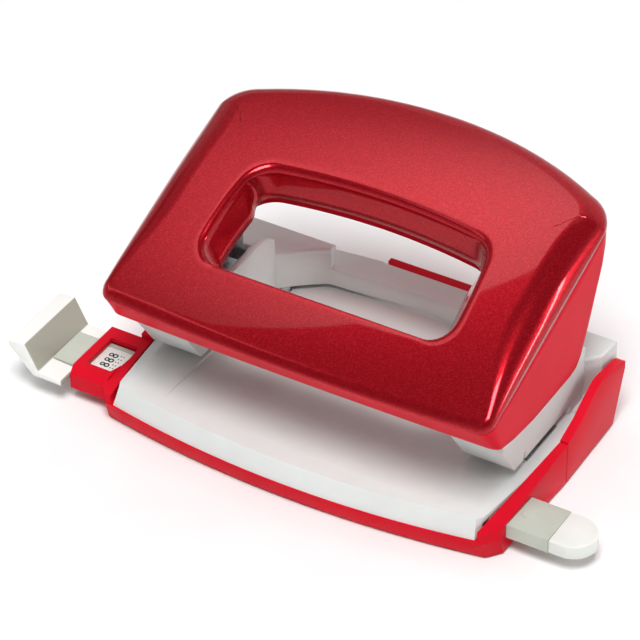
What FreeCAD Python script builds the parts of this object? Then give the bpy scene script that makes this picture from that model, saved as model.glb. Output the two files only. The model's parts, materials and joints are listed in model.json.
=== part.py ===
import FreeCAD, Part
import os
import Sketcher

# A compact two-hole desk punch.
# Frame: millimetres, +Z up, +X to the right, the user stands at -Y.
# The origin lies on the table, midway between the two punch axes.

# name, value, what it is
SIZES = [
    ("hole_pitch", 80.0, "distance between the two punched holes"),
    ("punch_dia", 5.5, "diameter of a punch pin"),
    ("fit_gap", 0.03, "radial clearance of a running fit"),
    ("body_gap", 0.3, "clearance between pieces that move past each other"),
    ("foot_height", 0.6, "how far the rubber feet hold the base off the table"),
    ("base_half", 52.0, "half the width of the red base"),
    ("base_corner", 3.6, "how far in from its sides the base's front corners start"),
    ("base_taper", 1.0, "how much narrower the base is at its front corners, each side"),
    ("shoulder", 5.1, "width of the base's side shoulders beside the deck"),
    ("shoulder_front", 7.9, "top of the shoulders' line at the front corners"),
    ("foot_inset", 12.0, "side of the base to the middle of a foot"),
    ("base_wall", 2.0, "wall of the base frame and the chip tray"),
    ("base_floor", 1.6, "floor of the base frame and the chip tray"),
    ("front_reach", 35.0, "front of the base at its middle"),
    ("front_bow", 4.6, "how far the front bows out at its middle"),
    ("rim_height", 5.4, "top of the red front rim"),
    ("side_height", 11.5, "top of the base sides at the seam"),
    ("seam_line", 0.5, "where the chip tray meets the base frame"),
    ("tray_corner", 24.2, "rear corners of the chip tray at its foot"),
    ("tray_bow", 9.1, "how far the rear wall bows out at its middle"),
    ("tray_lean", 5.2, "how far the rear wall leans back over its height"),
    ("tray_taper", 0.4, "how much narrower the chip tray is at the rear, each side"),
    ("tray_height", 18.0, "top of the chip tray sides"),
    ("tray_rear_height", 11.5, "top of the chip tray rear wall"),
    ("tab_half", 14.0, "half the width of the chip tray finger tab"),
    ("deck_top", 10.0, "height of the paper deck"),
    ("deck_thick", 2.0, "thickness of the paper deck"),
    ("scoop_depth", 1.6, "depth of the deck's scoop at its rear end"),
    ("scoop_side", 5.5, "punch axis to the side of the deck's scoop"),
    ("slot_height", 2.3, "height of the paper slot"),
    ("slot_depth", 12.0, "hole centre to the paper stop"),
    ("block_out", 6.5, "punch axis to the outer face of its block"),
    ("block_in", 6.3, "punch axis to the inner face of its block"),
    ("block_front", 14.0, "front edge of a punch block"),
    ("block_wall", 1.6, "wall of a punch block"),
    ("block_height", 27.0, "top of a punch block"),
    ("tower_side", 2.8, "outer side of a hinge tower inside the base's side"),
    ("tower_in", 16.2, "punch axis to the inner side of its hinge tower"),
    ("tower_back", 29.5, "back of a hinge tower"),
    ("tower_height", 18.6, "top of a hinge tower"),
    ("cap_thick", 1.4, "thickness of a hinge cap"),
    ("foot_middle", 33.9, "cross wall's rear face at its middle, inside the chip tray"),
    ("lip_middle", 36.2, "rear edge at the middle of the lip over the chip tray's wall"),
    ("shelf_height", 14.5, "top of the cross wall between the towers"),
    ("pivot_back", 23.5, "handle pivot behind the punch axes"),
    ("pivot_height", 14.4, "handle pivot above the table"),
    ("pivot_dia", 4.0, "diameter of a hinge pin"),
    ("lever_thick", 2.0, "sheet of a lever arm"),
    ("lever_out", 1.0, "punch axis to the inner face of its lever arm"),
    ("lever_flange", 3.4, "punch axis to the inner edge of a lever's press flange"),
    ("lever_screw", 1.6, "lever screw inside the punch axis"),
    ("pin_inside", 3.5, "inner end of a hinge pin inside the punch axis"),
    ("pin_length", 10.0, "length of a hinge pin"),
    ("tower_screw", 7.0, "housing screw inside the punch axis"),
    ("tower_screw_back", 22.0, "housing screw behind the punch axes"),
    ("lever_seat", 35.3, "underside of a lever's press flange"),
    ("die_thick", 2.0, "thickness of a die plate"),
    ("die_half", 6.0, "half the width of a die plate"),
    ("die_reach", 7.0, "half the length of a die plate"),
    ("bracket_sheet", 1.5, "sheet of a pin bracket"),
    ("pin_foot", 12.6, "cutting end of a punch pin at rest"),
    ("head_step", 0.75, "how far a pin head stands out from its pin"),
    ("head_crown", 8.0, "radius of a pin head's dome"),
    ("clip_thick", 0.8, "thickness of a pin clip"),
    ("spring_gap", 0.35, "radial clearance between a pin and its spring"),
    ("spring_wire", 0.7, "wire of a return spring"),
    ("handle_half", 49.0, "half the width of the handle"),
    ("handle_front", 33.0, "front edge of the handle"),
    ("handle_front_height", 35.5, "height of the handle's front edge"),
    ("handle_back", 38.5, "rear edge of the handle at its middle"),
    ("handle_top", 60.0, "highest point of the handle"),
    ("handle_crown", 116.0, "radius of the handle's arched top"),
    ("skin_thick", 1.6, "wall of the handle skin"),
    ("liner_wall", 2.0, "wall of the handle liner"),
    ("window_side", 9.0, "side of the handle window inside the punch axis"),
    ("window_front", 19.0, "front edge of the handle window"),
    ("window_back", 8.0, "rear edge of the handle window"),
    ("rail_width", 11.0, "width of the guide rail"),
    ("rail_line", 20.5, "centre line of the guide rail in front of the punch axes"),
    ("rail_low", 4.0, "underside of the guide rail"),
    ("rail_top", 7.6, "top of the guide rail"),
    ("rail_out_right", 9.0, "guide rail's grey part beyond the base's right side"),
    ("rail_out_left", 6.6, "guide rail beyond the format window block"),
    ("guide_travel", 80.0, "how far the guide pulls out"),
    ("detent_line", 36.0, "rail detent left of the middle"),
    ("cap_length", 9.0, "length of the rail's end cap"),
    ("window_out", 7.7, "format window block beyond the base's left side"),
    ("screw_dia", 2.5, "diameter of a screw"),
    ("screw_head", 4.6, "diameter of a screw head"),
    ("boss_apart", 15.0, "front screw bosses either side of the middle"),
    ("boss_radius", 2.3, "radius of a front screw boss"),
    ("boss_clear", 0.6, "front screw bosses clear of the guide rail"),
]

document = FreeCAD.newDocument("HolePunch")
sheet = document.addObject("Spreadsheet::Sheet", "Sizes")


class Size:
    """A length that knows its value and the sheet expression it comes from."""

    def __init__(self, value, text=None):
        self.value = float(value)
        self.text = text or "(%r)" % float(value)

    def join(self, other, sign, value, swap=False):
        other = as_size(other)
        pair = (other.text, self.text) if swap else (self.text, other.text)
        return Size(value, "(%s %s %s)" % (pair[0], sign, pair[1]))

    def __add__(self, other):
        return self.join(other, "+", self.value + as_size(other).value)

    def __sub__(self, other):
        return self.join(other, "-", self.value - as_size(other).value)

    def __rsub__(self, other):
        return self.join(other, "-", as_size(other).value - self.value, True)

    def __mul__(self, other):
        return self.join(other, "*", self.value * as_size(other).value)

    def __truediv__(self, other):
        return self.join(other, "/", self.value / as_size(other).value)

    def __neg__(self):
        return Size(-self.value, "(-1 * %s)" % self.text)

    __radd__ = __add__
    __rmul__ = __mul__


def as_size(number):
    return number if isinstance(number, Size) else Size(number)


class Sheet:
    """The sheet's sizes as attributes, such as s.hole_pitch."""


s = Sheet()
for row, (name, value, note) in enumerate(SIZES, start=1):
    sheet.set("A%d" % row, name)
    sheet.set("B%d" % row, repr(value))
    sheet.set("C%d" % row, note)
    sheet.setAlias("B%d" % row, name)
    setattr(s, name, Size(value, "Sizes." + name))
document.recompute()


# ---------------------------------------------------------------- helpers

def bind(item, path, size):
    """Tie a property of an object to the sheet."""
    item.setExpression(path, as_size(size).text)


def bow_radius(half_chord, rise):
    """Radius of the arc over a chord, from its rise at the middle."""
    half_chord = as_size(half_chord)
    return (half_chord * half_chord + rise * rise) / (rise * 2)


def new_body(label):
    body = document.addObject("PartDesign::Body", label)
    body.Label = label
    return body


def new_sketch(body, plane, level):
    """An empty sketch parallel to an origin plane, at a height along its normal."""
    sketch = body.newObject("Sketcher::SketchObject", "Sketch")
    role = {"XY": "XY_Plane", "XZ": "XZ_Plane", "YZ": "YZ_Plane"}[plane]
    origin = [f for f in body.Origin.OriginFeatures if f.Role == role][0]
    sketch.AttachmentSupport = (origin, [""])
    sketch.MapMode = "FlatFace"
    level = as_size(level)
    if plane == "XZ":
        level = -level
    sketch.AttachmentOffset = FreeCAD.Placement(
        FreeCAD.Vector(0, 0, level.value), FreeCAD.Rotation())
    bind(sketch, "AttachmentOffset.Base.z", level)
    return sketch


def pin_point(sketch, geometry, point, x, y):
    """Hold one end of a line or arc at a place given by two sizes."""
    for kind, size in (("DistanceX", x), ("DistanceY", y)):
        index = sketch.addConstraint(
            Sketcher.Constraint(kind, -1, 1, geometry, point, size.value))
        bind(sketch, "Constraints[%d]" % index, size)


def draw_outline(sketch, corners):
    """Closed outline. A corner is (x, y) or (x, y, radius): the radius bends the
    edge that leaves it, outward when positive and inward when negative, on an
    outline that runs counter-clockwise."""
    points = [(as_size(c[0]), as_size(c[1])) for c in corners]
    ends = []
    for i, corner in enumerate(corners):
        (ax, ay), (bx, by) = points[i], points[(i + 1) % len(points)]
        start = FreeCAD.Vector(ax.value, ay.value, 0)
        end = FreeCAD.Vector(bx.value, by.value, 0)
        if len(corner) < 3:
            index = sketch.addGeometry(Part.LineSegment(start, end))
            ends.append((index, 1, 2))
            continue
        radius = as_size(corner[2])
        chord = end - start
        side = 1 if radius.value > 0 else -1
        inward = FreeCAD.Vector(-chord.y, chord.x, 0).normalize() * side
        size = abs(radius.value)
        height = (size * size - chord.Length ** 2 / 4) ** 0.5
        centre = (start + end) * 0.5 + inward * height
        first, last = (start, end) if side > 0 else (end, start)
        angles = [FreeCAD.Vector(1, 0, 0).getAngle(p - centre) for p in (first, last)]
        angles = [a if (p - centre).y >= 0 else -a for a, p in zip(angles, (first, last))]
        circle = Part.Circle(centre, FreeCAD.Vector(0, 0, 1), size)
        index = sketch.addGeometry(Part.ArcOfCircle(circle, angles[0], angles[1]))
        ends.append((index, 1, 2) if side > 0 else (index, 2, 1))
        bend = sketch.addConstraint(Sketcher.Constraint("Radius", index, size))
        bind(sketch, "Constraints[%d]" % bend, radius if side > 0 else -radius)
    for i, (index, first, last) in enumerate(ends):
        following = ends[(i + 1) % len(ends)]
        sketch.addConstraint(
            Sketcher.Constraint("Coincident", index, last, following[0], following[1]))
        pin_point(sketch, index, first, points[i][0], points[i][1])


def draw_circle(sketch, x, y, radius):
    x, y, radius = as_size(x), as_size(y), as_size(radius)
    centre = FreeCAD.Vector(x.value, y.value, 0)
    index = sketch.addGeometry(Part.Circle(centre, FreeCAD.Vector(0, 0, 1), radius.value))
    bend = sketch.addConstraint(Sketcher.Constraint("Radius", index, radius.value))
    bind(sketch, "Constraints[%d]" % bend, radius)
    pin_point(sketch, index, 3, x, y)


def extrude(body, plane, low, high, outlines=(), circles=(), cut=False):
    """Pad, or pocket when cut is set, from one level of a plane to another."""
    low, high = as_size(low), as_size(high)
    before = body.Shape.Volume if body.Tip else 0.0
    sketch = new_sketch(body, plane, high if plane == "XZ" else low)
    for outline in outlines:
        draw_outline(sketch, outline)
    for circle in circles:
        draw_circle(sketch, *circle)
    kind = "Pocket" if cut else "Pad"
    feature = body.newObject("PartDesign::" + kind, kind)
    feature.Profile = (sketch, [""])
    feature.Reversed = cut
    feature.Length = high.value - low.value
    bind(feature, "Length", high - low)
    document.recompute()
    after = body.Shape.Volume
    if cut and after >= before - 1e-6:
        raise RuntimeError("%s: a pocket removed nothing" % body.Label)
    if not cut and after <= before + 1e-6:
        raise RuntimeError("%s: a pad added nothing" % body.Label)
    return feature


def loft(body, low, low_outline, high, high_outline, cut=False):
    """Straight loft between two outlines that have the same number of edges."""
    first = new_sketch(body, "XY", low)
    draw_outline(first, low_outline)
    second = new_sketch(body, "XY", high)
    draw_outline(second, high_outline)
    kind = "SubtractiveLoft" if cut else "AdditiveLoft"
    feature = body.newObject("PartDesign::" + kind, kind)
    feature.Profile = (first, [""])
    feature.Sections = [(second, [""])]
    feature.Ruled = True
    document.recompute()
    return feature


def trim(body, plane, low, high, outline, reach=200):
    """Cut away everything outside an outline."""
    frame = [(-reach, -reach), (reach, -reach), (reach, reach), (-reach, reach)]
    return extrude(body, plane, low, high, [frame, outline], cut=True)


def round_edges(body, radius, wanted):
    """Fillet the edges of the body's tip that a test picks."""
    names = []
    for i, edge in enumerate(body.Shape.Edges, start=1):
        if wanted(edge):
            names.append("Edge%d" % i)
    if not names:
        raise RuntimeError("%s: no edge to round" % body.Label)
    feature = body.newObject("PartDesign::Fillet", "Fillet")
    feature.Base = (body.Tip if body.Tip != feature else body.Group[-2], names)
    feature.Radius = as_size(radius).value
    bind(feature, "Radius", radius)
    document.recompute()
    return feature


def mirrored(right, front_bend=None):
    """A symmetric outline from its right-hand corners, front to rear. The bend of
    the last corner is the rear edge's, and front_bend is the front edge's."""
    left = []
    for i in range(len(right) - 1, -1, -1):
        corner = right[i]
        bend = right[i - 1][2:] if i > 0 else (() if front_bend is None else (front_bend,))
        left.append((-as_size(corner[0]), corner[1]) + tuple(bend))
    return list(right) + left


def rectangle(x0, y0, x1, y1):
    return [(x0, y0), (x1, y0), (x1, y1), (x0, y1)]


def make_box(label, x0, y0, z0, x1, y1, z1):
    box = document.addObject("Part::Box", label)
    box.Label = label
    low = [as_size(v) for v in (x0, y0, z0)]
    high = [as_size(v) for v in (x1, y1, z1)]
    for side, a, b in zip(("Length", "Width", "Height"), low, high):
        bind(box, side, b - a)
    for axis, a in zip("xyz", low):
        bind(box, "Placement.Base." + axis, a)
    return box


def make_cylinder(label, x, y, z, radius, length, along="Z"):
    """A cylinder from a point along Z or along X."""
    rod = document.addObject("Part::Cylinder", label)
    rod.Label = label
    turn = {"Z": FreeCAD.Rotation(), "X": FreeCAD.Rotation(FreeCAD.Vector(0, 1, 0), 90)}
    rod.Placement = FreeCAD.Placement(FreeCAD.Vector(0, 0, 0), turn[along])
    bind(rod, "Radius", radius)
    bind(rod, "Height", length)
    for axis, a in zip("xyz", (x, y, z)):
        bind(rod, "Placement.Base." + axis, a)
    return rod


def join(label, *items):
    group = document.addObject("Part::MultiFuse", label)
    group.Label = label
    group.Shapes = list(items)
    group.Refine = True
    return group


def cut_away(label, base, tool):
    item = document.addObject("Part::Cut", label)
    item.Label = label
    item.Base = base
    item.Tool = tool
    return item


def mirror_across(label, source):
    """The same piece on the other side of the symmetry plane X = 0."""
    copy = document.addObject("Part::Mirroring", label)
    copy.Label = label
    copy.Source = source
    copy.Normal = FreeCAD.Vector(1, 0, 0)
    return copy


def pair(name, right):
    """Right and left copies of one piece, as two nodes."""
    right.Label = name + "_right"
    return [right, mirror_across(name + "_left", right)]


def group(label, items):
    """Several loose solids of one kind in a single node."""
    bundle = document.addObject("Part::Compound", label)
    bundle.Label = label
    bundle.Links = list(items)
    return bundle


# ---------------------------------------------------------------- shared places

punch_x = s.hole_pitch / 2
foot = s.foot_height
base_floor_top = foot + s.base_floor
deck_under = s.deck_top - s.deck_thick
slot_roof = s.deck_top + s.slot_height
seat_top = slot_roof + s.block_wall
cap_top = s.tower_height + s.cap_thick
rail_front = -s.rail_line - s.rail_width / 2
rail_rear = -s.rail_line + s.rail_width / 2
side_inner = s.base_half - s.base_wall
tray_lip = rail_rear + s.body_gap + 3.2
corner_x = s.base_half - s.base_corner
shoulder_x = s.base_half - s.shoulder
deck_front_half = shoulder_x - s.body_gap
deck_corner = deck_front_half - 0.3
tower_half = s.base_half - s.tower_side
foot_x = s.base_half - s.foot_inset
outside = s.base_half + 18.0
block_outer = punch_x + s.block_out
block_inner = punch_x - s.block_in
tower_inner = punch_x - s.tower_in
tower_screw_x = punch_x - s.tower_screw
scoop_half = punch_x - s.scoop_side
lever_inner = punch_x + s.lever_out
lever_screw_x = punch_x - s.lever_screw
window_half = punch_x - s.window_side
window_block = s.base_half + s.window_out
rail_left = window_block + s.rail_out_left
rail_right = s.base_half + s.rail_out_right
boss_line = s.boss_radius + s.boss_clear - rail_front
spring_radius = s.punch_dia / 2 + s.spring_gap + s.spring_wire


def base_outline(inset, lean):
    """Plan of the base's front half. The front arc leans out with height."""
    half = s.base_half - inset
    corner = s.front_reach - s.front_bow - inset + lean
    return mirrored([(corner_x - inset * 0.7, -corner),
                     (half - s.base_taper, -(corner - 3.3)),
                     (half, s.seam_line)],
                    bow_radius(corner_x - inset * 0.7, s.front_bow))


def tray_outline(inset, height, front):
    """Plan of the chip tray at a height. Its rear wall leans back."""
    back = s.tray_corner + s.tray_lean * (height / 14.0) - inset
    half = s.base_half - s.tray_taper - inset
    return mirrored([(s.base_half - inset, front), (half, back, bow_radius(half, s.tray_bow))])


def boss_circles(radius):
    return [(-s.boss_apart, -boss_line, radius), (s.boss_apart, -boss_line, radius)]


# ---------------------------------------------------------------- base

def base_frame():
    body = new_body("base_frame")
    loft(body, foot, base_outline(as_size(0), as_size(0)),
         s.rim_height, base_outline(as_size(0), as_size(1.5)))
    # hollow above the floor, then the opening that takes the chip tray's front end
    hollow = base_outline(s.base_wall, as_size(0))
    extrude(body, "XY", base_floor_top, s.side_height + 1, [hollow], cut=True)
    extrude(body, "XY", foot - 1, base_floor_top + 1,
            [rectangle(-side_inner, tray_lip - s.body_gap, side_inner, s.seam_line + 1)], cut=True)
    # side walls, with shoulders that fill up to the deck and narrow towards the seam
    corner = s.front_reach - s.front_bow + 1.5
    wall = [(shoulder_x, -corner + 0.1), (corner_x, -corner + 0.1),
            (s.base_half - s.base_taper, -(corner - 3.3)), (s.base_half, s.seam_line),
            (side_inner, s.seam_line)]
    extrude(body, "XY", s.rim_height - 0.4, s.side_height,
            [wall, [(-as_size(x), y) for x, y in reversed(wall)]])
    extrude(body, "YZ", -outside, outside,
            [[(-corner - 3, s.shoulder_front - 0.4), (-corner, s.shoulder_front),
              (s.seam_line + 0.5, s.side_height), (s.seam_line + 0.5, s.side_height + 5),
              (-corner - 3, s.side_height + 5)]], cut=True)
    # block of the format window on the left side
    block_rear = rail_rear + 3.7
    block_front = rail_front - 3.0
    extrude(body, "YZ", -window_block, -side_inner,
            [[(block_front, 3.4), (block_rear, 3.4), (block_rear, 9.1),
              (block_front + 1.6, 9.1), (block_front, 7.2)]])
    extrude(body, "XY", 9.1, s.side_height + 1,
            [rectangle(-window_block, -outside, -shoulder_x + 0.5, block_rear)], cut=True)
    gap = s.body_gap
    extrude(body, "XZ", rail_front - gap, rail_rear + gap,
            [rectangle(-outside, s.rail_low - gap, outside, s.rail_top + gap)], cut=True)
    extrude(body, "XY", s.rail_top, 12,
            [[(-window_block + 2.3, rail_front + 0.5), (-(s.base_half - 1.1), rail_front + 0.5, 16),
              (-(s.base_half - 1.7), rail_rear + 0.1), (-window_block + 2.3, rail_rear + 0.1)]],
            cut=True)
    # clearance holes for the screws that come up from below
    extrude(body, "XY", foot - 1, base_floor_top + 1,
            circles=boss_circles(s.screw_dia / 2 + 0.2), cut=True)
    extrude(body, "XY", foot - 1, foot + 1.2, circles=boss_circles(s.screw_head / 2 + 0.1),
            cut=True)
    return body


def front_feet():
    pads = [make_box("FrontFoot", x - 5, -19, 0, x + 5, -13.5, foot) for x in (-foot_x, foot_x)]
    return group("front_feet", pads)


# ---------------------------------------------------------------- chip tray

def chip_tray():
    body = new_body("chip_tray")
    front = s.seam_line + s.body_gap
    wall = s.base_wall
    loft(body, foot, tray_outline(as_size(0), foot, front),
         s.tray_height, tray_outline(as_size(0), s.tray_height, front))
    # the top edge climbs to a knee beside the punch blocks and drops at the rear
    knee = 17.0
    rear_drop = s.tray_corner + 5.0
    extrude(body, "YZ", -outside, outside,
            [[(front - 1, s.side_height), (7, 13.6), (12, 16.2), (knee - 1, s.tray_height),
              (knee + 1, s.tray_height), (rear_drop - 2, 16.6), (rear_drop, 15.4),
              (rear_drop, s.tray_rear_height), (60, s.tray_rear_height), (60, 40), (front - 1, 40)]],
            cut=True)
    loft(body, base_floor_top, tray_outline(wall, base_floor_top, front - 5),
         s.tray_height + 1, tray_outline(wall, s.tray_height + 1, front - 5), cut=True)
    # front end of the tray, which reaches under the dies
    tongue = side_inner - 2.2
    lip_top = deck_under - 1.7
    extrude(body, "XY", foot, lip_top, [rectangle(-tongue, tray_lip, tongue, front + 2)])
    extrude(body, "XY", base_floor_top, lip_top + 1,
            [rectangle(-tongue + 1.5, tray_lip + 1.5, tongue - 1.5, front + 6)], cut=True)
    # runners under the deck's side edges
    for side in (1, -1):
        low, high = sorted((side_inner * side, (side_inner - 2.5) * side), key=lambda v: v.value)
        extrude(body, "XY", lip_top, deck_under - s.body_gap,
                [rectangle(low, front, high, s.tray_corner - 1)])
    # the rear wall stays below the hinge towers between the side walls
    extrude(body, "XY", s.tray_rear_height, s.tray_height + 1,
            [rectangle(-(tower_half + s.body_gap), 20, tower_half + s.body_gap, 60)], cut=True)
    # finger tab in the middle of the rear wall
    back = s.tray_corner + s.tray_lean + s.tray_bow
    extrude(body, "XY", s.tray_rear_height - 1.5, s.shelf_height - 0.5,
            [[(-s.tab_half + 1.5, back - 2.9), (s.tab_half - 1.5, back - 2.9),
              (s.tab_half, back - 1.5), (s.tab_half, back), (-s.tab_half, back),
              (-s.tab_half, back - 1.5)]])
    return body


def tray_feet():
    pads = [make_box("RearFoot", x - 5, 17, 0, x + 5, 22.5, foot) for x in (-foot_x, foot_x)]
    pads.append(make_box("MiddleFoot", -12, -3, 0, 12, 3, foot))
    return group("tray_feet", pads)


# ---------------------------------------------------------------- deck

def deck_outline(front_x, front_y, half, rear_inset):
    rear = s.tray_corner + s.tray_lean * (8.0 / 14.0) - s.base_wall - s.body_gap - rear_inset
    rear_half = half - s.tray_taper - s.body_gap
    return mirrored([(front_x, -front_y), (deck_front_half, -front_y + 2),
                     (half, s.seam_line),
                     (rear_half, rear, bow_radius(rear_half, s.tray_bow))],
                    bow_radius(front_x, s.front_bow))


def die_plan(x):
    return rectangle(x - s.die_half, -s.die_reach, x + s.die_half, s.die_reach)


def deck_plate():
    body = new_body("deck_plate")
    half = side_inner - 0.3
    crease = s.front_reach - s.front_bow - 0.6
    loft(body, s.rim_height, deck_outline(deck_corner, crease + 1.9, half, as_size(0)),
         s.deck_top, deck_outline(deck_corner - 0.7, crease, half, as_size(0)))
    # open underside behind the front band
    inner = mirrored([(deck_corner - 2.3, -(crease - 0.6)), (outside, -(crease - 6)), (outside, 60)],
                     bow_radius(deck_corner - 2.3, s.front_bow))
    extrude(body, "XY", s.rim_height - 1, deck_under, [inner], cut=True)
    # sloping sides of the deck in front of the blocks
    for side in (1, -1):
        outline = [(side * (half - 5.0), s.deck_top + 0.01), (side * (half + 1), s.deck_top - 1.5),
                   (side * (half + 1), s.deck_top + 1), (side * (half - 5.0), s.deck_top + 1)]
        extrude(body, "XZ", -60, s.seam_line + 13, [outline], cut=True)
    # scoop that falls towards the rear between the two lands
    start = -(s.front_reach - 6.0)
    extrude(body, "YZ", -scoop_half, scoop_half,
            [[(start, s.deck_top), (14, s.deck_top - s.scoop_depth),
              (29, s.deck_top - s.scoop_depth), (29, s.deck_top + 2), (start, s.deck_top + 2)]],
            cut=True)
    # seats of the die plates
    for x in (-punch_x, punch_x):
        extrude(body, "XY", deck_under - 1, s.deck_top + 1,
                [die_plan(x)], cut=True)
    # screw bosses at the front and screw holes under the towers
    extrude(body, "XY", base_floor_top, deck_under + 0.5, circles=boss_circles(s.boss_radius))
    extrude(body, "XY", base_floor_top - 1, deck_under - 0.5,
            circles=boss_circles(s.screw_dia / 2), cut=True)
    extrude(body, "XY", deck_under - 1, s.deck_top + 1,
            circles=[(x, s.tower_screw_back, s.screw_dia / 2 + 0.2)
                     for x in (-tower_screw_x, tower_screw_x)], cut=True)
    return body


def die_plate():
    body = new_body("die_plate")
    x = punch_x
    extrude(body, "XY", s.deck_top - s.die_thick, s.deck_top,
            [die_plan(x)], [(x, 0, s.punch_dia / 2 + s.fit_gap)])
    return body


def base_screws():
    screws = []
    for x, y, radius in boss_circles(s.screw_dia / 2):
        head = make_cylinder("ScrewHead", x, y, foot, s.screw_head / 2, 1.2)
        shank = make_cylinder("ScrewShank", x, y, foot, radius, 6.3)
        screws.append(join("BaseScrew", head, shank))
    return group("base_screws", screws)


# ---------------------------------------------------------------- punch housing

def tower_outline(inset):
    """D-shaped plan of the right hinge tower, flat at the back."""
    outer = tower_half - inset
    inner = tower_inner + inset
    back = s.tower_back - inset
    front = s.tower_back - 12.5 + inset
    return [(inner, back), (inner, back - 2.2 + inset, 14),
            (inner + 12.2, front, 60),
            (outer - 5.0, front + 0.4, bow_radius((outer - inner - 17.2) / 2, as_size(1.2))),
            (outer - 0.4, front + 6.0), (outer, back)]


def housing_half():
    body = new_body("HousingHalf")
    wall = s.block_wall
    # punch block, leaning forward above the paper slot
    extrude(body, "YZ", block_inner, block_outer,
            [[(-s.block_front, slot_roof), (s.slot_depth, slot_roof), (s.slot_depth, s.deck_top),
              (18.5, s.deck_top), (18.5, 24.5), (14, s.block_height), (-10, s.block_height),
              (-20, 24.5), (-20, 21)]])
    extrude(body, "XY", s.deck_top, s.tower_height, [list(reversed(tower_outline(as_size(0))))])
    # cross wall: a low part inside the chip tray and a lip over its rear wall
    lip_under = s.tray_rear_height + s.body_gap
    foot_corner = s.tower_back - 3.8
    lip_corner = s.tower_back - 0.1
    for low, high, corner, middle in ((s.deck_top, lip_under, foot_corner, s.foot_middle),
                                      (lip_under, s.shelf_height, lip_corner, s.lip_middle)):
        extrude(body, "XY", low, high,
                [[(0, s.tower_back - 0.5), (tower_half, s.tower_back - 4.6),
                  (tower_half, corner, bow_radius(tower_half, middle - corner)),
                  (0, middle)]])
    # hollow of the block, open at the top
    extrude(body, "YZ", block_inner + wall, block_outer - wall,
            [[(-s.block_front + 1.8, seat_top), (16.9, seat_top), (16.9, cap_top), (30, cap_top),
              (30, 40), (-30, 40), (-18.2, 23), (-18.2, 22)]], cut=True)
    # the foot of the towers stays inside the chip tray's rear wall
    extrude(body, "XY", s.deck_top, lip_under,
            [[(tower_half, foot_corner), (70, foot_corner), (70, 70), (-1, 70),
              (-1, s.foot_middle),
              (0, s.foot_middle, -bow_radius(tower_half, s.foot_middle - foot_corner))]],
            cut=True)
    # slot and bore of the hinge tower
    side = 0.35
    extrude(body, "YZ", lever_inner - side, lever_inner + s.lever_thick + side,
            [[(14, s.deck_top + 0.3), (28.3, s.deck_top + 0.3), (28.3, cap_top + 0.5),
              (14, cap_top + 0.5)]], cut=True)
    extrude(body, "YZ", punch_x - s.pin_inside, punch_x - s.pin_inside + s.pin_length,
            circles=[(s.pivot_back, s.pivot_height, s.pivot_dia / 2)], cut=True)
    # hole for the punch pin, and the nick in the slot's upper edge
    extrude(body, "XY", slot_roof - 1, seat_top + 1,
            circles=[(punch_x, 0, s.punch_dia / 2 + 0.4)], cut=True)
    extrude(body, "XZ", -9.9, -9.1,
            [rectangle(block_outer - 1.2, slot_roof - 1, block_outer + 1, slot_roof + 2)],
            cut=True)
    # blind hole for the screw from below
    extrude(body, "XY", s.deck_top - 1, s.deck_top + 6.5,
            circles=[(tower_screw_x, s.tower_screw_back, s.screw_dia / 2)], cut=True)
    return body


def punch_housing():
    half = housing_half()
    whole = join("HousingWhole", half, mirror_across("HousingOther", half))
    back = s.tray_corner + s.tray_lean + s.tray_bow
    notch = make_box("TabNotch", -s.tab_half - 0.3, back - 3.2, s.deck_top - 1,
                     s.tab_half + 0.3, back + 5, s.shelf_height + 1)
    return cut_away("punch_housing", whole, notch)


def hinge_cap():
    body = new_body("hinge_cap")
    extrude(body, "XY", s.tower_height, s.tower_height + s.cap_thick,
            [list(reversed(tower_outline(as_size(0))))])
    extrude(body, "XY", s.tower_height - 1, cap_top + 1,
            [rectangle(block_inner - 0.4, 10, block_outer + 0.4, 19)], cut=True)
    top = cap_top.value
    round_edges(body, s.cap_thick * 0.4,
                lambda e: min(v.Z for v in e.Vertexes) > top - 0.01)
    return body


def housing_screws():
    screws = []
    y = s.tower_screw_back
    for x in (-tower_screw_x, tower_screw_x):
        head = make_cylinder("ScrewHead", x, y, deck_under - 1.3, s.screw_head / 2, 1.3)
        shank = make_cylinder("ScrewShank", x, y, deck_under - 1.3, s.screw_dia / 2, 9)
        screws.append(join("HousingScrew", head, shank))
    return group("housing_screws", screws)


def pin_bracket():
    """Bent sheet with two flanges that guide the punch pin."""
    body = new_body("pin_bracket")
    sheet_thick = s.bracket_sheet
    back = 6.0
    top = s.block_height - 1.0
    extrude(body, "YZ", block_inner + s.block_wall + 0.2, block_outer - s.block_wall - 0.2,
            [[(-6, seat_top), (back, seat_top), (back, top), (-6, top), (-6, top - sheet_thick),
              (back - sheet_thick, top - sheet_thick), (back - sheet_thick, seat_top + sheet_thick),
              (-6, seat_top + sheet_thick)]])
    extrude(body, "XY", seat_top - 1, top + 1,
            circles=[(punch_x, 0, s.punch_dia / 2 + s.fit_gap)], cut=True)
    return body


# ---------------------------------------------------------------- punch pins

clip_top = s.block_height - 1.0 - s.bracket_sheet - 0.3
clip_under = clip_top - s.clip_thick
head_top = s.lever_seat - s.body_gap
spring_foot = seat_top + s.bracket_sheet


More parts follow.
